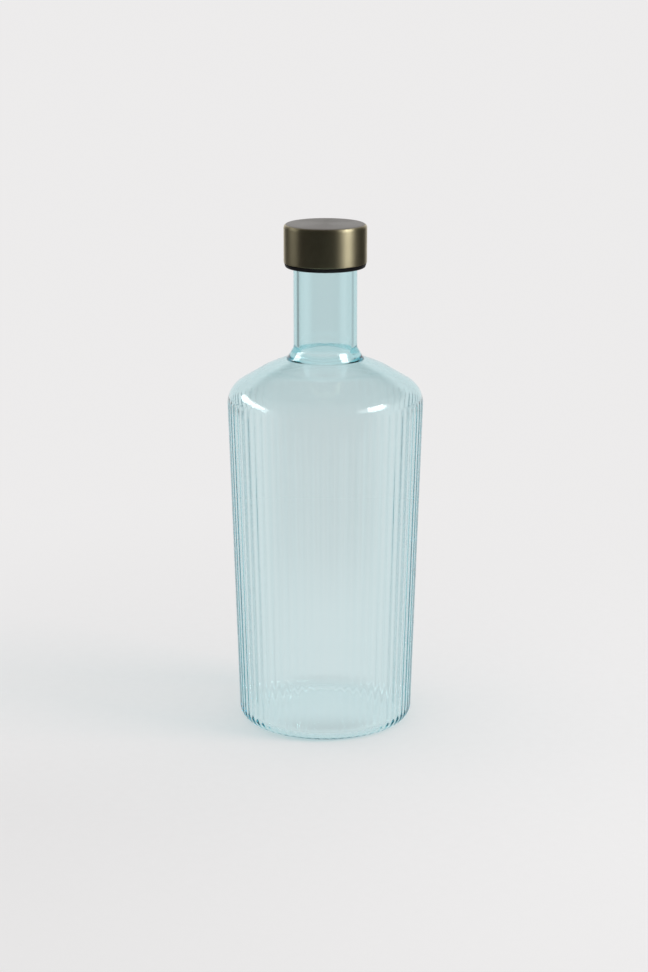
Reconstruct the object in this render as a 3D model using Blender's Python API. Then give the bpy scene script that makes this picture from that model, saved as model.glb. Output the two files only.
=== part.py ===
# Water bottle of reeded glass, closed by a metal cap that screws over its neck.
# Lengths are metres and +Z is up. The origin is the middle of the foot, on the table.

import bpy
import bmesh
from math import cos, pi, radians, sin, tan
from mathutils import Vector

# Driving sizes of the glass
GLASS_HEIGHT = 0.2652
FOOT_RADIUS = 0.04646
SHOULDER_RADIUS = 0.05206
SHOULDER_HEIGHT = 0.18235
SHOULDER_SLOPE = radians(30.7)
SHOULDER_BREAK_RADIUS = 0.0320
UPPER_SHOULDER_SLOPE = radians(22)
NECK_RADIUS = 0.01675
NECK_WALL = 0.00235
BODY_WALL = 0.0013
SHOULDER_WALL = 0.0019
BASE_WALL = 0.0018

# Rounded corners of the glass
HEEL_ROUND = 0.00845
SHOULDER_ROUND = 0.01295
SHOULDER_BREAK_ROUND = 0.0300
INNER_HEEL_ROUND = 0.0065
INNER_SHOULDER_ROUND = 0.0110
INNER_BREAK_ROUND = 0.0250
INNER_NECK_ROUND = 0.0060
RIM_ROUND = 0.0009

# Flare of glass where the neck is fused to the shoulder
FLARE_REACH = 0.0033
FLARE_HEIGHT = 0.0057
FLARE_TOP_ROUND = 0.0050
FLARE_FOOT_ROUND = 0.0025

# Foot: a flat standing ring round a shallow push-up
STANDING_RING_INNER_RADIUS = 0.0335
PUSH_UP_HEIGHT = 0.0020

# Reeds: upright flutes pressed into the outside of the body
REED_COUNT = 66
REED_DEPTH = 0.0003
REED_TOP = 0.1792
REED_TOP_FADE = 0.0030
REED_FOOT_FADE = 0.0050

# Cap: a drawn metal shell over a moulded plastic insert, with a soft disc that seals the rim
THREAD_ROOM = 0.00135
INSERT_WALL = 0.0022
INSERT_ROOF = 0.0012
INSERT_LIP_SHOWN = 0.0022
INSERT_TOP_ROUND = 0.0010
INSERT_LIP_ROUND = 0.0004
FLANGE_INSET = 0.0003
FLANGE_LEAN = 0.0006
FLANGE_ROUND = 0.0009
SHELL_WALL = 0.0012
SHELL_ROOF = 0.0012
SHELL_HEIGHT = 0.0204
SHELL_TOP_ROUND = 0.0020
SHELL_LIP_ROUND = 0.0010
DISC_THICKNESS = 0.0015
DISC_ROUND = 0.0004

# Clearance between pieces that touch
FIT_GAP = 0.0003

# A rounded corner takes no more than this share of the shorter side next to it
ROUND_LIMIT_SHARE = 0.48

# Facets
POINTS_PER_REED = 4
CAP_SEGMENTS = 48
DISC_SEGMENTS = 36
LARGE_ARC_STEPS = 7
HEEL_ARC_STEPS = 5
EDGE_ARC_STEPS = 3
SHALLOW_ARC_STEPS = 2
DOME_STEPS = 3


# Outlines are lists of (radius, height) points, read as the right half of a section.

def rounded_corner(before, corner, after, round_size, steps):
    """Points of the arc that rounds one corner of an outline."""
    back = before - corner
    ahead = after - corner
    half_angle = back.angle(ahead) / 2
    reach = min(round_size / tan(half_angle), ROUND_LIMIT_SHARE * min(back.length, ahead.length))
    arc_radius = reach * tan(half_angle)
    inward = (back.normalized() + ahead.normalized()).normalized()
    middle = corner + inward * (arc_radius / sin(half_angle))
    first = (corner + back.normalized() * reach - middle).normalized()
    last = (corner + ahead.normalized() * reach - middle).normalized()
    return [middle + first.slerp(last, step / steps) * arc_radius for step in range(steps + 1)]


def rounded_outline(corners):
    """Outline through corners given as (radius, height, round size, arc steps)."""
    places = [Vector((radius, height)) for radius, height, _, _ in corners]
    points = []
    for index, (_, _, round_size, steps) in enumerate(corners):
        if round_size > 0:
            points += rounded_corner(places[index - 1], places[index], places[index + 1], round_size, steps)
        else:
            points.append(places[index])
    return points


def dome_outline(radius, rise, height):
    """Shallow dome from its crown on the axis out to the given radius."""
    shares = [step / DOME_STEPS for step in range(DOME_STEPS)]
    return [Vector((radius * share, height + rise * (1 - share ** 2))) for share in shares]


def smooth_share(share):
    """Eased step from 0 to 1."""
    share = max(0.0, min(1.0, share))
    return share * share * (3 - 2 * share)


# Sizes that follow from the driving ones

BREAK_HEIGHT = SHOULDER_HEIGHT + (SHOULDER_RADIUS - SHOULDER_BREAK_RADIUS) * tan(SHOULDER_SLOPE)
BODY_TAPER = (SHOULDER_RADIUS - FOOT_RADIUS) / SHOULDER_HEIGHT
BODY_INSET = REED_DEPTH + BODY_WALL
NECK_BORE = NECK_RADIUS - NECK_WALL


def shoulder_height(radius):
    """Height of the shoulder's outside between its break and the neck, where it is flatter."""
    return BREAK_HEIGHT + (SHOULDER_BREAK_RADIUS - radius) * tan(UPPER_SHOULDER_SLOPE)


def inner_shoulder_height(radius):
    """Height of the shoulder's inside there, one wall below the outside."""
    return shoulder_height(radius) - SHOULDER_WALL / cos(UPPER_SHOULDER_SLOPE)


def inner_body_radius(height):
    """Radius of the body's smooth inside."""
    return FOOT_RADIUS - BODY_INSET + BODY_TAPER * height


def inner_break_corner():
    """Where the two slopes of the shoulder meet on the inside."""
    steep_drop = SHOULDER_WALL / cos(SHOULDER_SLOPE)
    flat_drop = SHOULDER_WALL / cos(UPPER_SHOULDER_SLOPE)
    step = (steep_drop - flat_drop) / (tan(SHOULDER_SLOPE) - tan(UPPER_SHOULDER_SLOPE))
    radius = SHOULDER_BREAK_RADIUS - step
    return radius, inner_shoulder_height(radius)


def inner_shoulder_corner():
    """Where the straight inside of the body meets the inside of the shoulder."""
    slope = tan(SHOULDER_SLOPE)
    break_radius, break_height = inner_break_corner()
    height = (break_height + (break_radius - inner_body_radius(0)) * slope) / (1 + slope * BODY_TAPER)
    return inner_body_radius(height), height


DISC_BOTTOM = GLASS_HEIGHT + FIT_GAP
DISC_TOP = DISC_BOTTOM + DISC_THICKNESS
INSERT_BORE = NECK_RADIUS + THREAD_ROOM
INSERT_RADIUS = INSERT_BORE + INSERT_WALL
INSERT_CEILING = DISC_TOP + FIT_GAP
INSERT_TOP = INSERT_CEILING + INSERT_ROOF
SHELL_BORE = INSERT_RADIUS + FIT_GAP
SHELL_RADIUS = SHELL_BORE + SHELL_WALL
SHELL_CEILING = INSERT_TOP + FIT_GAP
SHELL_TOP = SHELL_CEILING + SHELL_ROOF
SHELL_BOTTOM = SHELL_TOP - SHELL_HEIGHT
INSERT_BOTTOM = SHELL_BOTTOM - INSERT_LIP_SHOWN
FLANGE_RADIUS = SHELL_RADIUS - FLANGE_INSET
FLANGE_TOP = SHELL_BOTTOM - FIT_GAP


# The glass is a stack of rings of points, stitched together.
# Plain rings have one point for each reed and reeded rings have several.

def reed_share(height):
    """How much of the full reed depth there is at a height: none at the foot and on the shoulder."""
    at_top = smooth_share((REED_TOP - height) / REED_TOP_FADE)
    at_foot = smooth_share(height / REED_FOOT_FADE)
    return min(at_top, at_foot)


def make_ring(mesh, radius, height, share):
    """Ring of points at one height, pressed in between the reeds by a share of their depth."""
    count = REED_COUNT * (POINTS_PER_REED if share > 0 else 1)
    ring = []
    for index in range(count):
        angle = 2 * pi * index / count
        groove = (1 - cos(REED_COUNT * angle)) / 2
        reach = radius - REED_DEPTH * share * groove
        ring.append(mesh.verts.new((reach * cos(angle), reach * sin(angle), height)))
    return ring


def stitch_rings(mesh, first, second):
    """Wall between two rings. Each point of the coarser ring fans out over its reed on the finer one."""
    if len(first) == len(second):
        for index in range(len(first)):
            after = (index + 1) % len(first)
            mesh.faces.new((first[index], first[after], second[after], second[index]))
        return
    flipped = len(first) > len(second)
    coarse, fine = (second, first) if flipped else (first, second)
    for reed in range(len(coarse)):
        after = coarse[(reed + 1) % len(coarse)]
        span = [fine[(reed * POINTS_PER_REED + step) % len(fine)] for step in range(POINTS_PER_REED + 1)]
        middle = POINTS_PER_REED // 2
        corners = [(coarse[reed], span[step + 1], span[step]) for step in range(middle)]
        corners.append((coarse[reed], after, span[middle]))
        corners += [(after, span[step + 1], span[step]) for step in range(middle, POINTS_PER_REED)]
        for corner in corners:
            mesh.faces.new(corner[::-1] if flipped else corner)


def close_with_fan(mesh, ring, height):
    """Cap a ring with triangles that meet on the axis."""
    centre = mesh.verts.new((0, 0, height))
    for index in range(len(ring)):
        mesh.faces.new((ring[index], ring[(index + 1) % len(ring)], centre))


def outer_glass_outline():
    """Outside of the glass, from the push-up's crown to the top of the rim."""
    flare_radius = NECK_RADIUS + FLARE_REACH
    flare_bottom = shoulder_height(flare_radius)
    foot = dome_outline(STANDING_RING_INNER_RADIUS, PUSH_UP_HEIGHT, 0)
    sides = rounded_outline([
        (STANDING_RING_INNER_RADIUS, 0, 0, 0),
        (FOOT_RADIUS, 0, HEEL_ROUND, HEEL_ARC_STEPS),
        (SHOULDER_RADIUS, SHOULDER_HEIGHT, SHOULDER_ROUND, LARGE_ARC_STEPS),
        (SHOULDER_BREAK_RADIUS, BREAK_HEIGHT, SHOULDER_BREAK_ROUND, SHALLOW_ARC_STEPS),
        (flare_radius, flare_bottom, FLARE_FOOT_ROUND, EDGE_ARC_STEPS),
        (NECK_RADIUS, flare_bottom + FLARE_HEIGHT, FLARE_TOP_ROUND, EDGE_ARC_STEPS),
        (NECK_RADIUS, GLASS_HEIGHT, RIM_ROUND, EDGE_ARC_STEPS),
        (NECK_BORE, GLASS_HEIGHT, 0, 0),
    ])
    return foot + sides[:-1]


def inner_glass_outline():
    """Inside of the glass, from the top of the rim to the middle of the floor."""
    sides = rounded_outline([
        (NECK_RADIUS, GLASS_HEIGHT, 0, 0),
        (NECK_BORE, GLASS_HEIGHT, RIM_ROUND, EDGE_ARC_STEPS),
        (NECK_BORE, inner_shoulder_height(NECK_BORE), INNER_NECK_ROUND, EDGE_ARC_STEPS),
        (*inner_break_corner(), INNER_BREAK_ROUND, SHALLOW_ARC_STEPS),
        (*inner_shoulder_corner(), INNER_SHOULDER_ROUND, LARGE_ARC_STEPS),
        (inner_body_radius(BASE_WALL), BASE_WALL, INNER_HEEL_ROUND, HEEL_ARC_STEPS),
        (STANDING_RING_INNER_RADIUS, BASE_WALL, 0, 0),
    ])
    floor = dome_outline(STANDING_RING_INNER_RADIUS, PUSH_UP_HEIGHT, BASE_WALL)
    return sides[1:] + floor[::-1]


def make_glass():
    """The blown bottle: reeded outside, smooth inside, one closed body."""
    mesh = bmesh.new()
    outside = outer_glass_outline()
    inside = inner_glass_outline()
    rings = []
    for radius, height in outside[1:]:
        is_side = radius > STANDING_RING_INNER_RADIUS
        rings.append(make_ring(mesh, radius, height, reed_share(height) if is_side else 0))
    for radius, height in inside[:-1]:
        rings.append(make_ring(mesh, radius, height, 0))
    for lower, upper in zip(rings, rings[1:]):
        stitch_rings(mesh, lower, upper)
    close_with_fan(mesh, rings[0][::-1], outside[0].y)
    close_with_fan(mesh, rings[-1], inside[-1].y)
    return finished_object("glass_bottle", mesh, turquoise_glass())


# Cap pieces are turned from sections that start and end on the axis.
# Each one's own origin is the middle of the rim of the glass, on the axis that the cap turns about.

def turned_object(name, corners, segments, material):
    """Turn a section about the axis into a solid."""
    mesh = bmesh.new()
    outline = rounded_outline(corners)
    points = [mesh.verts.new((radius, 0, height - GLASS_HEIGHT)) for radius, height in outline]
    edges = [mesh.edges.new(pair) for pair in zip(points, points[1:])]
    bmesh.ops.spin(mesh, geom=points + edges, axis=(0, 0, 1), angle=2 * pi, steps=segments, use_merge=True)
    bmesh.ops.remove_doubles(mesh, verts=mesh.verts, dist=FIT_GAP / segments)
    return finished_object(name, mesh, material)


def make_shell():
    """Drawn metal shell: flat top, rounded edge, straight wall and a plain lip."""
    inner_round = max(SHELL_TOP_ROUND - SHELL_WALL, 0)
    return turned_object("cap_shell", [
        (0, SHELL_CEILING, 0, 0),
        (SHELL_BORE, SHELL_CEILING, inner_round, EDGE_ARC_STEPS),
        (SHELL_BORE, SHELL_BOTTOM, 0, 0),
        (SHELL_RADIUS, SHELL_BOTTOM, SHELL_LIP_ROUND, EDGE_ARC_STEPS),
        (SHELL_RADIUS, SHELL_TOP, SHELL_TOP_ROUND, HEEL_ARC_STEPS),
        (0, SHELL_TOP, 0, 0),
    ], CAP_SEGMENTS, dark_bronze())


def make_insert():
    """Moulded cup inside the shell. The metal stands on its flange, which shows as a ring below it."""
    return turned_object("cap_insert", [
        (0, INSERT_CEILING, 0, 0),
        (INSERT_BORE, INSERT_CEILING, 0, 0),
        (INSERT_BORE, INSERT_BOTTOM, INSERT_LIP_ROUND, EDGE_ARC_STEPS),
        (FLANGE_RADIUS - FLANGE_LEAN, INSERT_BOTTOM, FLANGE_ROUND, EDGE_ARC_STEPS),
        (FLANGE_RADIUS, FLANGE_TOP, 0, 0),
        (INSERT_RADIUS, FLANGE_TOP, 0, 0),
        (INSERT_RADIUS, INSERT_TOP, INSERT_TOP_ROUND, EDGE_ARC_STEPS),
        (0, INSERT_TOP, 0, 0),
    ], CAP_SEGMENTS, black_plastic())


def make_disc():
    """Soft disc between the rim of the glass and the ceiling of the insert."""
    disc_radius = INSERT_BORE - FIT_GAP
    return turned_object("sealing_disc", [
        (0, DISC_BOTTOM, 0, 0),
        (disc_radius, DISC_BOTTOM, DISC_ROUND, EDGE_ARC_STEPS),
        (disc_radius, DISC_TOP, DISC_ROUND, EDGE_ARC_STEPS),
        (0, DISC_TOP, 0, 0),
    ], DISC_SEGMENTS, pale_silicone())


# Materials

def plain_material(name, colour, roughness, metallic):
    material = bpy.data.materials.new(name)
    material.use_nodes = True
    shader = material.node_tree.nodes["Principled BSDF"]
    shader.inputs["Base Color"].default_value = (*colour, 1)
    shader.inputs["Roughness"].default_value = roughness
    shader.inputs["Metallic"].default_value = metallic
    return material, shader


def turquoise_glass():
    material, shader = plain_material("turquoise_glass", (0.62, 0.86, 0.88), 0.02, 0)
    shader.inputs["Transmission Weight"].default_value = 1
    shader.inputs["IOR"].default_value = 1.47
    return material


def dark_bronze():
    return plain_material("dark_bronze", (0.19, 0.17, 0.13), 0.35, 1)[0]


def black_plastic():
    return plain_material("black_plastic", (0.012, 0.011, 0.012), 0.45, 0)[0]


def pale_silicone():
    return plain_material("pale_silicone", (0.72, 0.73, 0.72), 0.55, 0)[0]


# Scene

def finished_object(name, mesh, material):
    """Put a finished mesh in the scene, with its faces pointing out and its round sides smooth."""
    bmesh.ops.recalc_face_normals(mesh, faces=mesh.faces)
    data = bpy.data.meshes.new(name)
    mesh.to_mesh(data)
    mesh.free()
    data.materials.append(material)
    data.shade_smooth()
    data.set_sharp_from_angle(angle=radians(35))
    thing = bpy.data.objects.new(name, data)
    bpy.context.collection.objects.link(thing)
    return thing


def main():
    for thing in list(bpy.data.objects):
        bpy.data.objects.remove(thing)
    make_glass()
    cap_axis = bpy.data.objects.new("cap_axis", None)
    cap_axis.location = (0, 0, GLASS_HEIGHT)
    bpy.context.collection.objects.link(cap_axis)
    for piece in (make_disc(), make_insert(), make_shell()):
        piece.parent = cap_axis


main()
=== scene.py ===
import bpy
import bmesh
from math import cos, pi, radians, sin, tan
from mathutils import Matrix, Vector


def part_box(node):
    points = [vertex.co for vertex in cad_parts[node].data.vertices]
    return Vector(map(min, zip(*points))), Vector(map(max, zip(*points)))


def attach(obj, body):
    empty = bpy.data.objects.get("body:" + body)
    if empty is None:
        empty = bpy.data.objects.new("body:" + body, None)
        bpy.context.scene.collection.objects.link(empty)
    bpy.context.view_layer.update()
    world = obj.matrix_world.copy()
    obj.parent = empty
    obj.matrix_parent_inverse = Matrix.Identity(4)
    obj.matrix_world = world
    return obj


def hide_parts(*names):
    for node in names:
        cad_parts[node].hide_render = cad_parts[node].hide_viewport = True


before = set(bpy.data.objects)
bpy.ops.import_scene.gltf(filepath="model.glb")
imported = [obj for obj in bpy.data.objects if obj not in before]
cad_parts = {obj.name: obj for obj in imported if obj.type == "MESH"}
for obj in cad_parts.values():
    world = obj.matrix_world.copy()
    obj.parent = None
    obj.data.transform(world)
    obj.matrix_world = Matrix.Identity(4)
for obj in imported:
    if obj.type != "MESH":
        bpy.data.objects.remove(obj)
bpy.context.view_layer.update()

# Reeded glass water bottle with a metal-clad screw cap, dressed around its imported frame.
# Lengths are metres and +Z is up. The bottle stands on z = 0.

mm = 0.001
roundReachShare = 0.48     # how much of the shorter side beside it a round may take up
lastStepShare = 1.5        # how long the last step before a point may be, so that no sliver is left
_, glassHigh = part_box("glass_bottle")
insertLow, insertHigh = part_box("cap_insert")
shellLow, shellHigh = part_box("cap_shell")
discLow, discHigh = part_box("sealing_disc")


# Outlines are lists of (radius, height), read as the right half of a section

def roundedCorner(before, corner, after, roundSize, steps):
    back = before - corner
    ahead = after - corner
    halfAngle = back.angle(ahead) / 2
    reach = min(roundSize / tan(halfAngle), roundReachShare * min(back.length, ahead.length))
    arcRadius = reach * tan(halfAngle)
    inward = (back.normalized() + ahead.normalized()).normalized()
    middle = corner + inward * (arcRadius / sin(halfAngle))
    first = (corner + back.normalized() * reach - middle).normalized()
    last = (corner + ahead.normalized() * reach - middle).normalized()
    return [middle + first.slerp(last, step / steps) * arcRadius for step in range(steps + 1)]


def roundedOutline(corners, steps):
    places = [Vector((radius, height)) for radius, height, _ in corners]
    points = []
    for index, (_, _, roundSize) in enumerate(corners):
        if roundSize > 0:
            points += roundedCorner(places[index - 1], places[index], places[index + 1], roundSize, steps)
        else:
            points.append(places[index])
    return points


def refined(outline, longestStep):
    # adds points along straight stretches, about one step apart for where they are
    points = [outline[0]]
    for point in outline[1:]:
        start = points[-1]
        while (point - start).length > lastStepShare * longestStep(start):
            start = start + (point - start).normalized() * longestStep(start)
            points.append(start)
        points.append(point)
    return points


def eased(share):
    share = max(0.0, min(1.0, share))
    return share * share * (3 - 2 * share)


def threadShare(thread, angle, height):
    # how high the bead stands here, from 0 beside it to 1 on its crest
    best = 0.0
    turned = (angle / (2 * pi)) % 1.0
    while turned <= thread["turns"]:
        offset = abs(height - thread["start"] - thread["pitch"] * turned)
        if offset < thread["width"] / 2:
            crest = cos(pi * offset / thread["width"]) ** 2
            ends = eased(turned / thread["run"]) * eased((thread["turns"] - turned) / thread["run"])
            best = max(best, crest * ends)
        turned += 1.0
    return best


def addRing(mesh, count, height, reachAt):
    ring = []
    for index in range(count):
        angle = 2 * pi * index / count
        reach = reachAt(angle, height)
        ring.append(mesh.verts.new((reach * cos(angle), reach * sin(angle), height)))
    return ring


def stitchRings(mesh, first, second):
    # two rings of one count, or of counts where one is a multiple of the other
    if len(first) == len(second):
        for index in range(len(first)):
            after = (index + 1) % len(first)
            mesh.faces.new((first[index], first[after], second[after], second[index]))
        return
    coarse, fine = sorted((first, second), key=len)
    spread = len(fine) // len(coarse)
    middle = spread // 2
    for index in range(len(coarse)):
        after = coarse[(index + 1) % len(coarse)]
        span = [fine[(index * spread + step) % len(fine)] for step in range(spread + 1)]
        for step in range(middle):
            mesh.faces.new((coarse[index], span[step + 1], span[step]))
        mesh.faces.new((coarse[index], after, span[middle]))
        for step in range(middle, spread):
            mesh.faces.new((after, span[step + 1], span[step]))


def closeRings(mesh, rings, firstHeight, lastHeight):
    # skins the rings in their order and closes both ends by a fan about the axis
    for before, after in zip(rings, rings[1:]):
        stitchRings(mesh, before, after)
    for ring, height in ((rings[0], firstHeight), (rings[-1], lastHeight)):
        centre = mesh.verts.new((0, 0, height))
        for index in range(len(ring)):
            mesh.faces.new((ring[index], ring[(index + 1) % len(ring)], centre))
    bmesh.ops.recalc_face_normals(mesh, faces=mesh.faces)


def turnedMesh(outline, count, reachAt):
    # a turned piece, from an outline that starts and ends on the axis
    mesh = bmesh.new()
    rings = [addRing(mesh, count, height, lambda angle, level: reachAt(radius, level, angle))
             for radius, height in outline[1:-1]]
    closeRings(mesh, rings, outline[0].y, outline[-1].y)
    return mesh


def finishedPiece(name, mesh, material, body, node, sharpAngle):
    data = bpy.data.meshes.new(name)
    mesh.to_mesh(data)
    mesh.free()
    data.materials.append(material)
    data.shade_smooth()
    data.set_sharp_from_angle(angle=sharpAngle)
    piece = bpy.data.objects.new(name, data)
    bpy.context.collection.objects.link(piece)
    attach(piece, body)
    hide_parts(node)
    print(f"{name}: {len(data.polygons)} faces")
    return piece


# Node helpers

def newMaterial(name):
    material = bpy.data.materials.new(name)
    material.use_nodes = True
    tree = material.node_tree
    return material, tree, tree.nodes["Principled BSDF"], tree.nodes["Material Output"]


def addNode(tree, kind, settings=None, **sockets):
    node = tree.nodes.new(kind)
    for key, value in (settings or {}).items():
        setattr(node, key, value)
    for key, value in sockets.items():
        socket = node.inputs[int(key[1:])] if key[0] == "i" and key[1:].isdigit() else node.inputs[key]
        if isinstance(value, bpy.types.NodeSocket):
            tree.links.new(value, socket)
        else:
            socket.default_value = value
    return node


def addMath(tree, operation, first, second=0.0, third=0.0):
    return addNode(tree, "ShaderNodeMath", {"operation": operation}, i0=first, i1=second, i2=third).outputs[0]


def addRange(tree, value, low, high, toLow=0.0, toHigh=1.0):
    # value between low and high, eased and mapped to the second pair
    node = addNode(tree, "ShaderNodeMapRange", {"interpolation_type": "SMOOTHSTEP"})
    tree.links.new(value, node.inputs["Value"])
    node.inputs["From Min"].default_value = low
    node.inputs["From Max"].default_value = high
    node.inputs["To Min"].default_value = toLow
    node.inputs["To Max"].default_value = toHigh
    return node.outputs["Result"]


def addMix(tree, share, first, second):
    node = tree.nodes.new("ShaderNodeMix")
    node.data_type = "RGBA"
    for socket, value in ((node.inputs[0], share), (node.inputs[6], first), (node.inputs[7], second)):
        if isinstance(value, bpy.types.NodeSocket):
            tree.links.new(value, socket)
        elif isinstance(value, tuple):
            socket.default_value = (*value, 1.0)
        else:
            socket.default_value = value
    return node.outputs[2]


def addGroup(tree, group, **sockets):
    return addNode(tree, "ShaderNodeGroup", {"node_tree": group}, **sockets)


# Effects that more than one material uses

effects = {
    "smearDetail": 4.0,
    "smearBlend": 0.6,
    "smearRange": (0.48, 0.72),     # of the noise, from clean to marked
    "grainDetail": 2.0,
    "mottleScale": 180.0,
    "mottleDetail": 3.0,
    "mottleRange": (0.3, 0.7),
}


def newGroup(name, *results):
    # a shader group that takes a position and a scale
    group = bpy.data.node_groups.new(name, "ShaderNodeTree")
    group.interface.new_socket("Position", in_out="INPUT", socket_type="NodeSocketVector")
    group.interface.new_socket("Scale", in_out="INPUT", socket_type="NodeSocketFloat")
    for result in results:
        group.interface.new_socket(result, in_out="OUTPUT", socket_type="NodeSocketFloat")
    given = group.nodes.new("NodeGroupInput")
    return group, given.outputs["Position"], given.outputs["Scale"], group.nodes.new("NodeGroupOutput")


def makeHandlingGroup():
    # soft smears left by hands and wiping, from 0 on clean places to 1 on marked ones
    group, position, scale, result = newGroup("handlingMarks", "Marks")
    broad = addNode(group, "ShaderNodeTexNoise", Vector=position, Scale=scale, Detail=effects["smearDetail"],
                    Roughness=effects["smearBlend"], Distortion=effects["smearBlend"])
    group.links.new(addRange(group, broad.outputs["Fac"], *effects["smearRange"]), result.inputs["Marks"])
    return group


def makeGrainGroup():
    # fine moulded grain: a height for bump and a slow mottle for colour and roughness
    group, position, scale, result = newGroup("mouldedGrain", "Height", "Mottle")
    fine = addNode(group, "ShaderNodeTexNoise", Vector=position, Scale=scale, Detail=effects["grainDetail"])
    slow = addNode(group, "ShaderNodeTexNoise", Vector=position, Scale=effects["mottleScale"],
                   Detail=effects["mottleDetail"])
    group.links.new(fine.outputs["Fac"], result.inputs["Height"])
    group.links.new(addRange(group, slow.outputs["Fac"], *effects["mottleRange"]), result.inputs["Mottle"])
    return group


handlingGroup = makeHandlingGroup()
grainGroup = makeGrainGroup()


# Camera, set to the photograph's angle

camera = {
    "lens": 85.0,
    "place": Vector((0, -1.18806, 0.44694)),
    "pitchDown": 0.2617,
    "shiftX": -0.0014,
}


def makeCamera():
    data = bpy.data.cameras.new("camera")
    data.lens = camera["lens"]
    data.shift_x = camera["shiftX"]
    thing = bpy.data.objects.new("camera", data)
    thing.location = camera["place"]
    thing.rotation_euler = (pi / 2 - camera["pitchDown"], 0, 0)
    bpy.context.collection.objects.link(thing)
    bpy.context.scene.camera = thing
    print("camera: placed")


# Studio: a pale floor that fades into a pale surround, and soft lamps

studio = {
    "pale": (0.845, 0.835, 0.835),
    "dim": (0.02, 0.02, 0.02),
    "ambient": 0.66,
    # reflections on the satin pieces: a dim room but for a pale strip behind, as shares of Y and Z
    "stripShares": (0.78, 0.95),
    "stripTopShares": (0.75, 0.92),
    # reflections on the glass: a dim room in front and a dim ceiling, as shares of Y and Z
    "frontShares": (-0.65, -0.25),
    "ceilingShares": (0.40, 0.58),
    # where the floor takes on the dim front, and the paler windows low down in it
    "frontDistances": (0.10, 0.36),
    "windowGlow": 0.6,
    "windowScale": 7.0,
    "windowRange": (0.46, 0.58),
    "windowDistances": (0.56, 0.66),
    # how much darker the far paper looks at the sides through the neck, from left to right
    "besideDark": (0.6, 0.3),
    "besideBlend": (-0.2, 0.2),
    "besideShares": (0.50, 0.68),
    "besideBehindShares": (0.25, 0.45),
    "besideDistances": (0.65, 0.80),
    "floorColour": (0.885, 0.875, 0.875),
    "floorMottle": 0.992,
    "floorGrain": 900.0,
    "floorRoughness": 0.9,
    "floorSize": 24.0,
    "floorFade": (0.10, 0.45),
    # painted shade for the lamps' falloff: how much darker the paper is in front, from left to right, and
    # where that begins and ends
    "nearPaintedShade": (0.055, -0.01),
    "nearAcross": (-0.25, 0.25),
    "nearAlong": (-0.16, 0.0),
    "nearDistances": (0.5, 1.2),
    "throughGlass": 0.85,    # how far the paper glows when seen through the glass, which gathers light there
    "duller": 0.035,         # and how much duller it is there
    "card": {"toward": Vector((-0.862, 0.255, 0.438)), "width": 1.0, "height": 0.20, "glow": 8.0},
    "cardEdgeShares": (0.44, 0.54),      # of its width and height, where its soft edges begin and end
    "cardAhead": 0.1,
    "lampTarget": Vector((0, 0, 0.18)),
    "lampDistance": 3.0,     # lamp sizes are shares of this
    "lamps": {
        "lampRight": {"toward": Vector((0.747, -0.294, 0.596)), "width": 0.74, "height": 0.22, "glow": 2.7},
        "lampRightCore": {"toward": Vector((0.768, -0.235, 0.596)), "width": 0.38, "height": 0.20,
                          "glow": 13.2},
        "lampLeft": {"toward": Vector((-0.862, 0.255, 0.438)), "width": 0.62, "height": 0.15, "glow": 2.7},
    },
}


def opposite(tree, share):
    return addMath(tree, "SUBTRACT", 1.0, share)


def product(tree, first, *others):
    for other in others:
        first = addMath(tree, "MULTIPLY", first, other)
    return first


def lightPaths(tree):
    # the ray's own outputs, how far it sees the surround as such, whether it comes off a satin piece,
    # and whether it came through the glass
    rays = addNode(tree, "ShaderNodeLightPath").outputs
    seen = addMath(tree, "ADD", rays["Is Camera Ray"], rays["Is Glossy Ray"])
    seen = addMath(tree, "MINIMUM", addMath(tree, "ADD", seen, rays["Is Transmission Ray"]), 1.0)
    through = addMath(tree, "GREATER_THAN", rays["Transmission Depth"], 0.5)
    blurred = addMath(tree, "SUBTRACT", rays["Is Glossy Ray"], rays["Is Singular Ray"])
    satin = addMath(tree, "GREATER_THAN", addMath(tree, "SUBTRACT", blurred, through), 0.5)
    return rays, seen, satin, through


def addDot(tree, direction, along):
    return addNode(tree, "ShaderNodeVectorMath", {"operation": "DOT_PRODUCT"},
                   i0=direction, i1=tuple(along)).outputs["Value"]


def addLength(tree, vector):
    return addNode(tree, "ShaderNodeVectorMath", {"operation": "LENGTH"}, i0=vector).outputs["Value"]


def cardShare(tree, direction):
    # 1 where a direction meets a white card that only shows in reflections on the glass
    card = studio["card"]
    toward = card["toward"].normalized()
    side = Vector((0, 0, 1)).cross(toward).normalized()
    ahead = addDot(tree, direction, toward)
    share = addMath(tree, "GREATER_THAN", ahead, studio["cardAhead"])
    for axis, size in ((side, card["width"]), (toward.cross(side), card["height"])):
        offset = addMath(tree, "DIVIDE", addMath(tree, "ABSOLUTE", addDot(tree, direction, axis)), ahead)
        edges = (size * edge for edge in studio["cardEdgeShares"])
        share = product(tree, share, addRange(tree, offset, *edges, 1.0, 0.0))
    return share


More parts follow.
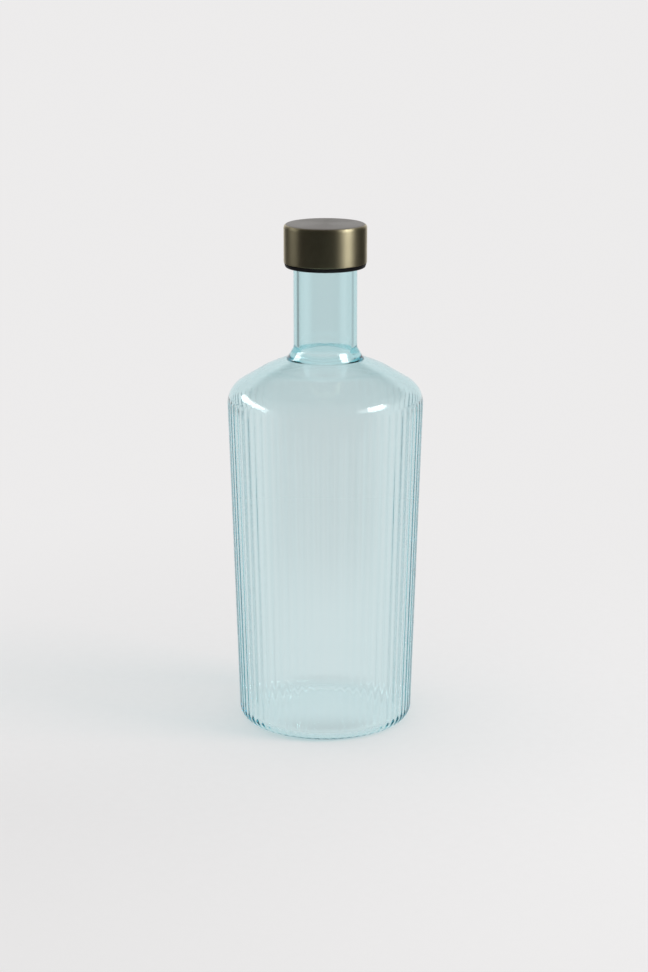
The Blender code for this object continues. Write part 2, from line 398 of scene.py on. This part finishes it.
def makeWorld():
    world = bpy.data.worlds.new("studioWorld")
    bpy.context.scene.world = world
    world.use_nodes = True
    tree = world.node_tree
    tree.nodes.clear()
    rays, seen, satin, _ = lightPaths(tree)
    once = addMath(tree, "COMPARE", rays["Glossy Depth"], 1.0, 0.5)     # reflected just once
    direction = addNode(tree, "ShaderNodeTexCoord").outputs["Generated"]
    parts = addNode(tree, "ShaderNodeSeparateXYZ", Vector=direction).outputs
    level = addNode(tree, "ShaderNodeCombineXYZ", X=parts["X"], Y=parts["Y"]).outputs[0]
    along = addMath(tree, "DIVIDE", parts["Y"], addLength(tree, level))
    strip = product(tree, addRange(tree, along, *studio["stripShares"]),
                    addRange(tree, parts["Z"], *studio["stripTopShares"], 1.0, 0.0))
    clear = product(tree, addRange(tree, along, *studio["frontShares"]),
                    addRange(tree, parts["Z"], *studio["ceilingShares"], 1.0, 0.0))
    clear = opposite(tree, product(tree, opposite(tree, clear), once))
    surround = addMix(tree, addMix(tree, satin, clear, strip), studio["dim"], studio["pale"])
    card = product(tree, cardShare(tree, direction), once, opposite(tree, satin))
    shown = addNode(tree, "ShaderNodeBackground", Color=surround,
                    Strength=addMath(tree, "MULTIPLY_ADD", card, studio["card"]["glow"], 1.0))
    light = addNode(tree, "ShaderNodeBackground", Color=(1, 1, 1, 1), Strength=studio["ambient"])
    mixed = addNode(tree, "ShaderNodeMixShader", i0=seen, i1=light.outputs[0], i2=shown.outputs[0])
    out = addNode(tree, "ShaderNodeOutputWorld")
    tree.links.new(mixed.outputs[0], out.inputs["Surface"])


def paintedPaperShade(tree, parts, far):
    # painted shade: the paper is a little darker in front at the left, where the light from the lamps on the
    # right would fall off
    dark = product(tree, addRange(tree, parts["Y"], *studio["nearAlong"], 1.0, 0.0),
                   addRange(tree, parts["X"], *studio["nearAcross"], *studio["nearPaintedShade"]),
                   addRange(tree, far, *studio["nearDistances"], 1.0, 0.0))
    return opposite(tree, dark)


def besideShare(tree, along, across, far):
    # the far paper at both sides behind the bottle
    return product(tree, addRange(tree, addMath(tree, "ABSOLUTE", across), *studio["besideShares"]),
                   addRange(tree, far, *studio["besideDistances"]),
                   addRange(tree, along, *studio["besideBehindShares"]),
                   addRange(tree, across, *studio["besideBlend"], *studio["besideDark"]))


def frontShare(tree, along, across, far):
    # the dim room in front, between its windows
    band = addNode(tree, "ShaderNodeCombineXYZ", X=across).outputs[0]
    bands = addNode(tree, "ShaderNodeTexNoise", Vector=band, Scale=studio["windowScale"], Detail=0.0)
    window = product(tree, addRange(tree, bands.outputs["Fac"], *studio["windowRange"]),
                     addRange(tree, far, *studio["windowDistances"], 1.0, 0.0), studio["windowGlow"])
    lit = addMath(tree, "MAXIMUM", window, addRange(tree, along, *studio["frontShares"]))
    return product(tree, opposite(tree, lit), addRange(tree, far, *studio["frontDistances"]))


def makeFloorMaterial():
    material, tree, matt, output = newMaterial("paperFloor")
    position = addNode(tree, "ShaderNodeTexCoord").outputs["Object"]
    parts = addNode(tree, "ShaderNodeSeparateXYZ", Vector=position).outputs
    far = addLength(tree, position)
    along = addMath(tree, "DIVIDE", parts["Y"], far)
    across = addMath(tree, "DIVIDE", parts["X"], far)
    # level is the painted shade, laid on the paper's colour and on its glow
    level = paintedPaperShade(tree, parts, far)

    grain = addGroup(tree, grainGroup, Position=position, Scale=studio["floorGrain"])
    paper = addMix(tree, grain.outputs["Mottle"], studio["floorColour"],
                   tuple(studio["floorMottle"] * value for value in studio["floorColour"]))
    paper = addNode(tree, "ShaderNodeVectorMath", {"operation": "SCALE"}, i0=paper, Scale=level).outputs[0]
    tree.links.new(paper, matt.inputs["Base Color"])
    matt.inputs["Roughness"].default_value = studio["floorRoughness"]
    matt.inputs["Specular IOR Level"].default_value = 0.0

    # the front is dim for all but what the camera sees straight on or through the glass
    rays, _, satin, through = lightPaths(tree)
    direct = product(tree, addMath(tree, "LESS_THAN", rays["Glossy Depth"], 0.5),
                     addMath(tree, "MAXIMUM", through, rays["Is Camera Ray"]))
    front = product(tree, frontShare(tree, along, across, far), opposite(tree, direct))
    dimming = addMath(tree, "MAXIMUM", product(tree, through, besideShare(tree, along, across, far)), front)
    early = addMath(tree, "LESS_THAN", rays["Glossy Depth"], 1.5)     # reflected once at most
    bright = opposite(tree, product(tree, dimming, early))
    strip = addRange(tree, along, *studio["stripShares"])
    glow = addMix(tree, addMix(tree, satin, bright, strip), studio["dim"], studio["pale"])
    duller = addMath(tree, "MULTIPLY_ADD", through, -studio["duller"], 1.0)
    shine = addNode(tree, "ShaderNodeEmission", Color=glow, Strength=product(tree, duller, level))
    glowing = addMath(tree, "MAXIMUM", addRange(tree, far, *studio["floorFade"]),
                      product(tree, through, studio["throughGlass"]))
    glowing = addMath(tree, "MAXIMUM", glowing, satin)
    mixed = addNode(tree, "ShaderNodeMixShader", i0=glowing, i1=matt.outputs[0], i2=shine.outputs[0])
    tree.links.new(mixed.outputs[0], output.inputs["Surface"])
    return material


def makeFloor():
    mesh = bmesh.new()
    bmesh.ops.create_grid(mesh, x_segments=2, y_segments=2, size=studio["floorSize"] / 2)
    data = bpy.data.meshes.new("floor")
    mesh.to_mesh(data)
    mesh.free()
    data.materials.append(makeFloorMaterial())
    thing = bpy.data.objects.new("floor", data)
    bpy.context.collection.objects.link(thing)


def makeLamps():
    for name, lamp in studio["lamps"].items():
        data = bpy.data.lights.new(name, "AREA")
        data.shape = "RECTANGLE"
        data.size = lamp["width"] * studio["lampDistance"]
        data.size_y = lamp["height"] * studio["lampDistance"]
        data.energy = lamp["glow"] * pi * data.size * data.size_y
        thing = bpy.data.objects.new(name, data)
        toward = lamp["toward"].normalized()
        thing.location = studio["lampTarget"] + toward * studio["lampDistance"]
        thing.rotation_mode = "QUATERNION"
        thing.rotation_quaternion = (-toward).to_track_quat("-Z", "Y")
        bpy.context.collection.objects.link(thing)
    print("studio: lamps, floor and surround ready")


# Glass bottle

glass = {
    "height": glassHigh.z,
    "footRadius": 46.46 * mm,
    "shoulderRadius": 52.06 * mm,
    "shoulderHeight": 182.35 * mm,
    "shoulderSlope": radians(30.7),
    "breakRadius": 32.0 * mm,
    "upperSlope": radians(22),
    "neckRadius": 16.75 * mm,
    "neckWall": 2.75 * mm,     # the first three are thicker than the solid's, so light runs further in them
    "bodyWall": 1.65 * mm,
    "shoulderWall": 2.3 * mm,
    "baseWall": 1.8 * mm,
    "heelRound": 8.45 * mm,
    "shoulderRound": 12.95 * mm,
    "breakRound": 30.0 * mm,
    "innerHeelRound": 6.5 * mm,
    "innerShoulderRound": 11.0 * mm,
    "innerBreakRound": 25.0 * mm,
    "innerNeckRound": 6.0 * mm,
    "rimRound": 0.9 * mm,
    "flareReach": 3.3 * mm,
    "flareHeight": 5.7 * mm,
    "flareTopRound": 5.0 * mm,
    "flareFootRound": 2.5 * mm,
    "ringRadius": 33.5 * mm,
    "pushUp": 2.0 * mm,
    "reedCount": 66,
    "reedDepth": 0.25 * mm,
    "reedTop": 179.2 * mm,
    "reedTopFade": 3.0 * mm,
    "reedFootFade": 2.5 * mm,
    "pointsPerReed": 16,
    "plainPoints": 264,        # four for each reed, so that plain rings meet reeded ones
    "arcSteps": 12,
    "domeSteps": 10,
    "fineStep": 0.3 * mm,      # where the thread and the tops of the reeds are
    "neckStep": 4.0 * mm,
    "heelStep": 0.7 * mm,
    "sideStep": 12.0 * mm,
    "insideStep": 6.0 * mm,
    "threadMargin": 3.0 * mm,
    "heelMarginShare": 1.2,    # how far the fine steps go past the reeds' fades, as shares of these
    "topMarginShare": 1.6,
    "topMargin": 1.0 * mm,
    "sharpAngle": radians(60),
    "thread": {
        "start": 252.2 * mm,
        "pitch": 4.0 * mm,
        "turns": 1.5,
        "run": 0.06,           # of a turn, for each end to rise
        "width": 2.3 * mm,
        "rise": 0.95 * mm,
    },
    "tintDensity": 88.0,
    "tintColour": (0.15, 0.72, 0.78),
    "ior": 1.47,
    "shadowTint": (1.0, 0.968, 0.965),
    "rippleScale": 22.0,
    "smearShare": 0.1,
    "rippleStrength": 0.1,
    "rippleHeight": 0.02 * mm,
}
glass["taper"] = (glass["shoulderRadius"] - glass["footRadius"]) / glass["shoulderHeight"]
glass["bore"] = glass["neckRadius"] - glass["neckWall"]
glass["breakHeight"] = (glass["shoulderHeight"]
                        + (glass["shoulderRadius"] - glass["breakRadius"]) * tan(glass["shoulderSlope"]))


def shoulderOutside(radius):
    return glass["breakHeight"] + (glass["breakRadius"] - radius) * tan(glass["upperSlope"])


def shoulderInside(radius):
    return shoulderOutside(radius) - glass["shoulderWall"] / cos(glass["upperSlope"])


def bodyInside(height):
    return glass["footRadius"] - glass["reedDepth"] - glass["bodyWall"] + glass["taper"] * height


def innerBreakCorner():
    steepDrop = glass["shoulderWall"] / cos(glass["shoulderSlope"])
    flatDrop = glass["shoulderWall"] / cos(glass["upperSlope"])
    step = (steepDrop - flatDrop) / (tan(glass["shoulderSlope"]) - tan(glass["upperSlope"]))
    radius = glass["breakRadius"] - step
    return radius, shoulderInside(radius)


def innerShoulderCorner():
    slope = tan(glass["shoulderSlope"])
    breakRadius, breakHeight = innerBreakCorner()
    height = (breakHeight + (breakRadius - bodyInside(0)) * slope) / (1 + slope * glass["taper"])
    return bodyInside(height), height


def domeOutline(radius, rise, height):
    # from the middle out, without its last point
    shares = [step / glass["domeSteps"] for step in range(glass["domeSteps"])]
    return [Vector((radius * share, height + rise * (1 - share ** 2))) for share in shares]


def outsideStep(point):
    # fine steps where the reeds and the thread start and end, long ones between
    if point.x < glass["ringRadius"]:
        onThread = point.y > glass["thread"]["start"] - glass["threadMargin"]
        return glass["fineStep"] if onThread else glass["neckStep"]
    if point.y < glass["heelMarginShare"] * glass["reedFootFade"]:
        return glass["heelStep"]
    fadeFoot = glass["reedTop"] - glass["topMarginShare"] * glass["reedTopFade"]
    onFade = fadeFoot < point.y < glass["reedTop"] + glass["topMargin"]
    return glass["fineStep"] if onFade else glass["sideStep"]


def glassOutside():
    flareRadius = glass["neckRadius"] + glass["flareReach"]
    flareBottom = shoulderOutside(flareRadius)
    foot = domeOutline(glass["ringRadius"], glass["pushUp"], 0)
    sides = roundedOutline([
        (glass["ringRadius"], 0, 0),
        (glass["footRadius"], 0, glass["heelRound"]),
        (glass["shoulderRadius"], glass["shoulderHeight"], glass["shoulderRound"]),
        (glass["breakRadius"], glass["breakHeight"], glass["breakRound"]),
        (flareRadius, flareBottom, glass["flareFootRound"]),
        (glass["neckRadius"], flareBottom + glass["flareHeight"], glass["flareTopRound"]),
        (glass["neckRadius"], glass["height"], glass["rimRound"]),
        (glass["bore"], glass["height"], 0),
    ], glass["arcSteps"])
    return foot + refined(sides[:-1], outsideStep)


def glassInside():
    sides = roundedOutline([
        (glass["neckRadius"], glass["height"], 0),
        (glass["bore"], glass["height"], glass["rimRound"]),
        (glass["bore"], shoulderInside(glass["bore"]), glass["innerNeckRound"]),
        (*innerBreakCorner(), glass["innerBreakRound"]),
        (*innerShoulderCorner(), glass["innerShoulderRound"]),
        (bodyInside(glass["baseWall"]), glass["baseWall"], glass["innerHeelRound"]),
        (glass["ringRadius"], glass["baseWall"], 0),
    ], glass["arcSteps"])
    floorOutline = domeOutline(glass["ringRadius"], glass["pushUp"], glass["baseWall"])
    return refined(sides[1:], lambda point: glass["insideStep"]) + floorOutline[::-1]


def reedShare(height):
    atTop = eased((glass["reedTop"] - height) / glass["reedTopFade"])
    atFoot = eased(height / glass["reedFootFade"])
    return min(atTop, atFoot)


def grooveShare(angle):
    # 0 on the crest of a reed, 1 at the bottom of the soft groove beside it
    return 0.5 - 0.5 * cos(glass["reedCount"] * angle)


def makeGlassMaterial():
    material, tree, shader, output = newMaterial("turquoiseGlass")
    position = addNode(tree, "ShaderNodeTexCoord").outputs["Object"]
    marks = addGroup(tree, handlingGroup, Position=position, Scale=glass["rippleScale"]).outputs["Marks"]
    shader.inputs["Base Color"].default_value = (1, 1, 1, 1)
    shader.inputs["IOR"].default_value = glass["ior"]
    shader.inputs["Roughness"].default_value = 0.0
    shader.inputs["Transmission Weight"].default_value = 1.0
    ripple = addNode(tree, "ShaderNodeTexNoise", Vector=position, Scale=glass["rippleScale"], Detail=1.0)
    waves = addMath(tree, "MULTIPLY_ADD", marks, glass["smearShare"], ripple.outputs["Fac"])
    bump = addNode(tree, "ShaderNodeBump", Strength=glass["rippleStrength"], Distance=glass["rippleHeight"],
                   Height=waves)
    tree.links.new(bump.outputs["Normal"], shader.inputs["Normal"])
    tint = addNode(tree, "ShaderNodeVolumeAbsorption", Color=(*glass["tintColour"], 1.0),
                   Density=glass["tintDensity"])
    tree.links.new(tint.outputs[0], output.inputs["Volume"])
    # the glass lets the light for its own shadow through, a little tinted
    rays = addNode(tree, "ShaderNodeLightPath").outputs
    lighting = addMath(tree, "MAXIMUM", rays["Is Shadow Ray"], rays["Is Diffuse Ray"])
    clear = addNode(tree, "ShaderNodeBsdfTransparent", Color=(*glass["shadowTint"], 1.0))
    mixed = addNode(tree, "ShaderNodeMixShader", i0=lighting, i1=shader.outputs[0], i2=clear.outputs[0])
    tree.links.new(mixed.outputs[0], output.inputs["Surface"])
    return material


def glassRing(mesh, radius, height, isOutside):
    # plain all round, or with its reeds or a stretch of the thread's bead
    thread = glass["thread"]

    def plain(angle, level):
        return radius

    def reeded(angle, level):
        return radius - glass["reedDepth"] * reedShare(level) * grooveShare(angle)

    def beaded(angle, level):
        return radius + thread["rise"] * threadShare(thread, angle, level)

    if isOutside and radius > glass["ringRadius"] and reedShare(height) > 0:
        return addRing(mesh, glass["reedCount"] * glass["pointsPerReed"], height, reeded)
    onThread = isOutside and radius < glass["ringRadius"] and height > thread["start"] - thread["width"]
    return addRing(mesh, glass["plainPoints"], height, beaded if onThread else plain)


def makeGlass():
    outside = glassOutside()
    points = outside + glassInside()
    mesh = bmesh.new()
    rings = [glassRing(mesh, radius, height, number < len(outside))
             for number, (radius, height) in enumerate(points[1:-1], 1)]
    closeRings(mesh, rings, points[0].y, points[-1].y)
    finishedPiece("reededGlass", mesh, makeGlassMaterial(), "bottle", "glass_bottle",
                  glass["sharpAngle"])


# Cap: metal shell, moulded insert with its thread ridge, and the sealing disc

cap = {
    "insertWall": 2.2 * mm,
    "insertRoof": 1.2 * mm,
    "insertTopRound": 1.0 * mm,
    "insertLipRound": 0.4 * mm,
    "flangeLean": 0.6 * mm,
    "flangeRound": 0.9 * mm,
    "fitGap": 0.3 * mm,
    "shellWall": 1.2 * mm,
    "shellRoof": 1.2 * mm,
    "shellTopRound": 2.0 * mm,
    "shellLipRound": 1.0 * mm,
    "ceilingRound": 0.3 * mm,
    "discRound": 0.4 * mm,
    "segments": 144,
    "arcSteps": 6,
    "plainStep": 4.0 * mm,
    "ridgeStep": 0.25 * mm,
    "ridgeMargin": 1.0 * mm,
    "boreReach": 0.1 * mm,       # what lies this near the insert's bore gets the fine steps
    "boreTolerance": 0.02 * mm,  # and this near it the ridge
    "sharpAngle": radians(50),
    "ridge": {
        "start": 250.2 * mm,
        "pitch": 4.0 * mm,
        "turns": 1.5,
        "run": 0.05,             # of a turn, for each end to rise
        "width": 1.8 * mm,
        "rise": 1.0 * mm,
    },
    "bronze": (0.64, 0.572, 0.372),
    "bronzePale": (0.70, 0.626, 0.418),
    # the top's own greyer spun finish, also made darker as painted shade for how light falls on the top
    "topFinishAndShade": (0.196, 0.184, 0.168),
    "bronzeRoughness": 0.48,
    "topRoughness": 0.40,
    "topFacing": (0.75, 0.98),
    "brushing": 0.9,
    "topBrushing": 0.35,
    "brushLines": 9000.0,        # for each metre across the brushing
    "brushBreaks": 2.5,          # for each radian along it
    "brushDetail": 3.0,
    "brushRange": (0.25, 0.75),
    "brushRoughness": (-0.04, 0.05),
    "brushStrength": 0.25,
    "brushHeight": 0.01 * mm,
    "smearScale": 70.0,
    "smearRoughness": 0.05,
    "mouldedRoughness": 0.08,
    "mouldedStrength": 0.3,
    "mouldedHeight": 0.02 * mm,
    "blackPlastic": {"colour": (0.012, 0.011, 0.012), "roughness": 0.42, "grain": 5000.0, "mottle": 0.25},
    "paleSilicone": {"colour": (0.70, 0.71, 0.70), "roughness": 0.5, "grain": 2500.0, "mottle": 0.06},
}


def makeBronzeMaterial():
    material, tree, shader, _ = newMaterial("brushedBronze")
    coordinates = addNode(tree, "ShaderNodeTexCoord").outputs
    parts = addNode(tree, "ShaderNodeSeparateXYZ", Vector=coordinates["Object"]).outputs
    radius = addLength(tree, addNode(tree, "ShaderNodeCombineXYZ", X=parts["X"], Y=parts["Y"]).outputs[0])
    # the lines run round the axis, on the top as on the side
    across = addMath(tree, "SUBTRACT", radius, parts["Z"])
    angle = addMath(tree, "ARCTAN2", parts["Y"], parts["X"])
    lines = addNode(tree, "ShaderNodeCombineXYZ", X=product(tree, across, cap["brushLines"]),
                    Y=product(tree, angle, cap["brushBreaks"]))
    brushed = addNode(tree, "ShaderNodeTexNoise", Vector=lines.outputs[0], Scale=1.0,
                      Detail=cap["brushDetail"]).outputs["Fac"]
    marks = addGroup(tree, handlingGroup, Position=coordinates["Object"], Scale=cap["smearScale"])
    facing = addNode(tree, "ShaderNodeSeparateXYZ", Vector=coordinates["Normal"]).outputs["Z"]
    onTop = addRange(tree, facing, *cap["topFacing"])

    colour = addMix(tree, brushed, cap["bronze"], cap["bronzePale"])
    # on the top, its greyer finish, darkened as painted shade
    tree.links.new(addMix(tree, onTop, colour, cap["topFinishAndShade"]), shader.inputs["Base Color"])
    shader.inputs["Metallic"].default_value = 1.0
    rough = addRange(tree, onTop, 0.0, 1.0, cap["bronzeRoughness"], cap["topRoughness"])
    rough = addMath(tree, "ADD", rough, addRange(tree, brushed, *cap["brushRange"], *cap["brushRoughness"]))
    rough = addMath(tree, "MULTIPLY_ADD", marks.outputs["Marks"], cap["smearRoughness"], rough)
    tree.links.new(rough, shader.inputs["Roughness"])
    tree.links.new(addRange(tree, onTop, 0.0, 1.0, cap["brushing"], cap["topBrushing"]),
                   shader.inputs["Anisotropic"])
    shader.inputs["Anisotropic Rotation"].default_value = 0.25     # a quarter turn from the tangent
    around = addNode(tree, "ShaderNodeTangent", {"direction_type": "RADIAL", "axis": "Z"})
    tree.links.new(around.outputs[0], shader.inputs["Tangent"])
    bump = addNode(tree, "ShaderNodeBump", Strength=cap["brushStrength"], Distance=cap["brushHeight"],
                   Height=brushed)
    tree.links.new(bump.outputs["Normal"], shader.inputs["Normal"])
    return material


def makeMouldedMaterial(name):
    material, tree, shader, _ = newMaterial(name)
    finish = cap[name]
    position = addNode(tree, "ShaderNodeTexCoord").outputs["Object"]
    grain = addGroup(tree, grainGroup, Position=position, Scale=finish["grain"]).outputs
    paler = tuple(value * (1 + finish["mottle"]) for value in finish["colour"])
    tree.links.new(addMix(tree, grain["Mottle"], finish["colour"], paler), shader.inputs["Base Color"])
    rough = finish["roughness"]
    tree.links.new(addRange(tree, grain["Mottle"], 0.0, 1.0, rough, rough + cap["mouldedRoughness"]),
                   shader.inputs["Roughness"])
    bump = addNode(tree, "ShaderNodeBump", Strength=cap["mouldedStrength"], Distance=cap["mouldedHeight"],
                   Height=grain["Height"])
    tree.links.new(bump.outputs["Normal"], shader.inputs["Normal"])
    return material


def straight(radius, height, angle):
    return radius


def plainStep(point):
    return cap["plainStep"]


def makeShell():
    ceiling = shellHigh.z - cap["shellRoof"]
    bore = shellHigh.x - cap["shellWall"]
    outline = roundedOutline([
        (0, ceiling, 0),
        (bore, ceiling, cap["shellTopRound"] - cap["shellWall"]),
        (bore, shellLow.z, 0),
        (shellHigh.x, shellLow.z, cap["shellLipRound"]),
        (shellHigh.x, shellHigh.z, cap["shellTopRound"]),
        (0, shellHigh.z, 0),
    ], cap["arcSteps"])
    mesh = turnedMesh(refined(outline, plainStep), cap["segments"], straight)
    finishedPiece("bronzeShell", mesh, makeBronzeMaterial(), "cap", "cap_shell",
                  cap["sharpAngle"])


def makeInsert():
    ceiling = insertHigh.z - cap["insertRoof"]
    insertRadius = shellHigh.x - cap["shellWall"] - cap["fitGap"]
    bore = insertRadius - cap["insertWall"]
    flangeTop = shellLow.z - cap["fitGap"]
    ridge = cap["ridge"]
    outline = roundedOutline([
        (0, ceiling, 0),
        (bore, ceiling, cap["ceilingRound"]),
        (bore, insertLow.z, cap["insertLipRound"]),
        (insertHigh.x - cap["flangeLean"], insertLow.z, cap["flangeRound"]),
        (insertHigh.x, flangeTop, 0),
        (insertRadius, flangeTop, 0),
        (insertRadius, insertHigh.z, cap["insertTopRound"]),
        (0, insertHigh.z, 0),
    ], cap["arcSteps"])

    def insertStep(point):
        nearRidge = point.x < bore + cap["boreReach"] and point.y < ceiling - cap["ridgeMargin"]
        return cap["ridgeStep"] if nearRidge else cap["plainStep"]

    def ridged(radius, height, angle):
        if abs(radius - bore) > cap["boreTolerance"]:
            return radius
        return radius - ridge["rise"] * threadShare(ridge, angle, height)

    mesh = turnedMesh(refined(outline, insertStep), cap["segments"], ridged)
    finishedPiece("threadedInsert", mesh, makeMouldedMaterial("blackPlastic"), "cap", "cap_insert",
                  cap["sharpAngle"])


def makeDisc():
    outline = roundedOutline([
        (0, discLow.z, 0),
        (discHigh.x, discLow.z, cap["discRound"]),
        (discHigh.x, discHigh.z, cap["discRound"]),
        (0, discHigh.z, 0),
    ], cap["arcSteps"])
    mesh = turnedMesh(outline, cap["segments"], straight)
    finishedPiece("sealDisc", mesh, makeMouldedMaterial("paleSilicone"), "seal", "sealing_disc",
                  cap["sharpAngle"])


scene = bpy.context.scene
scene.view_settings.view_transform = "Standard"
bounces = 48     # light runs far along the wall of the glass
scene.cycles.max_bounces = bounces
scene.cycles.glossy_bounces = bounces
scene.cycles.transmission_bounces = bounces
scene.cycles.transparent_max_bounces = 24
makeCamera()
makeWorld()
makeFloor()
makeLamps()
makeGlass()
makeShell()
makeInsert()
makeDisc()
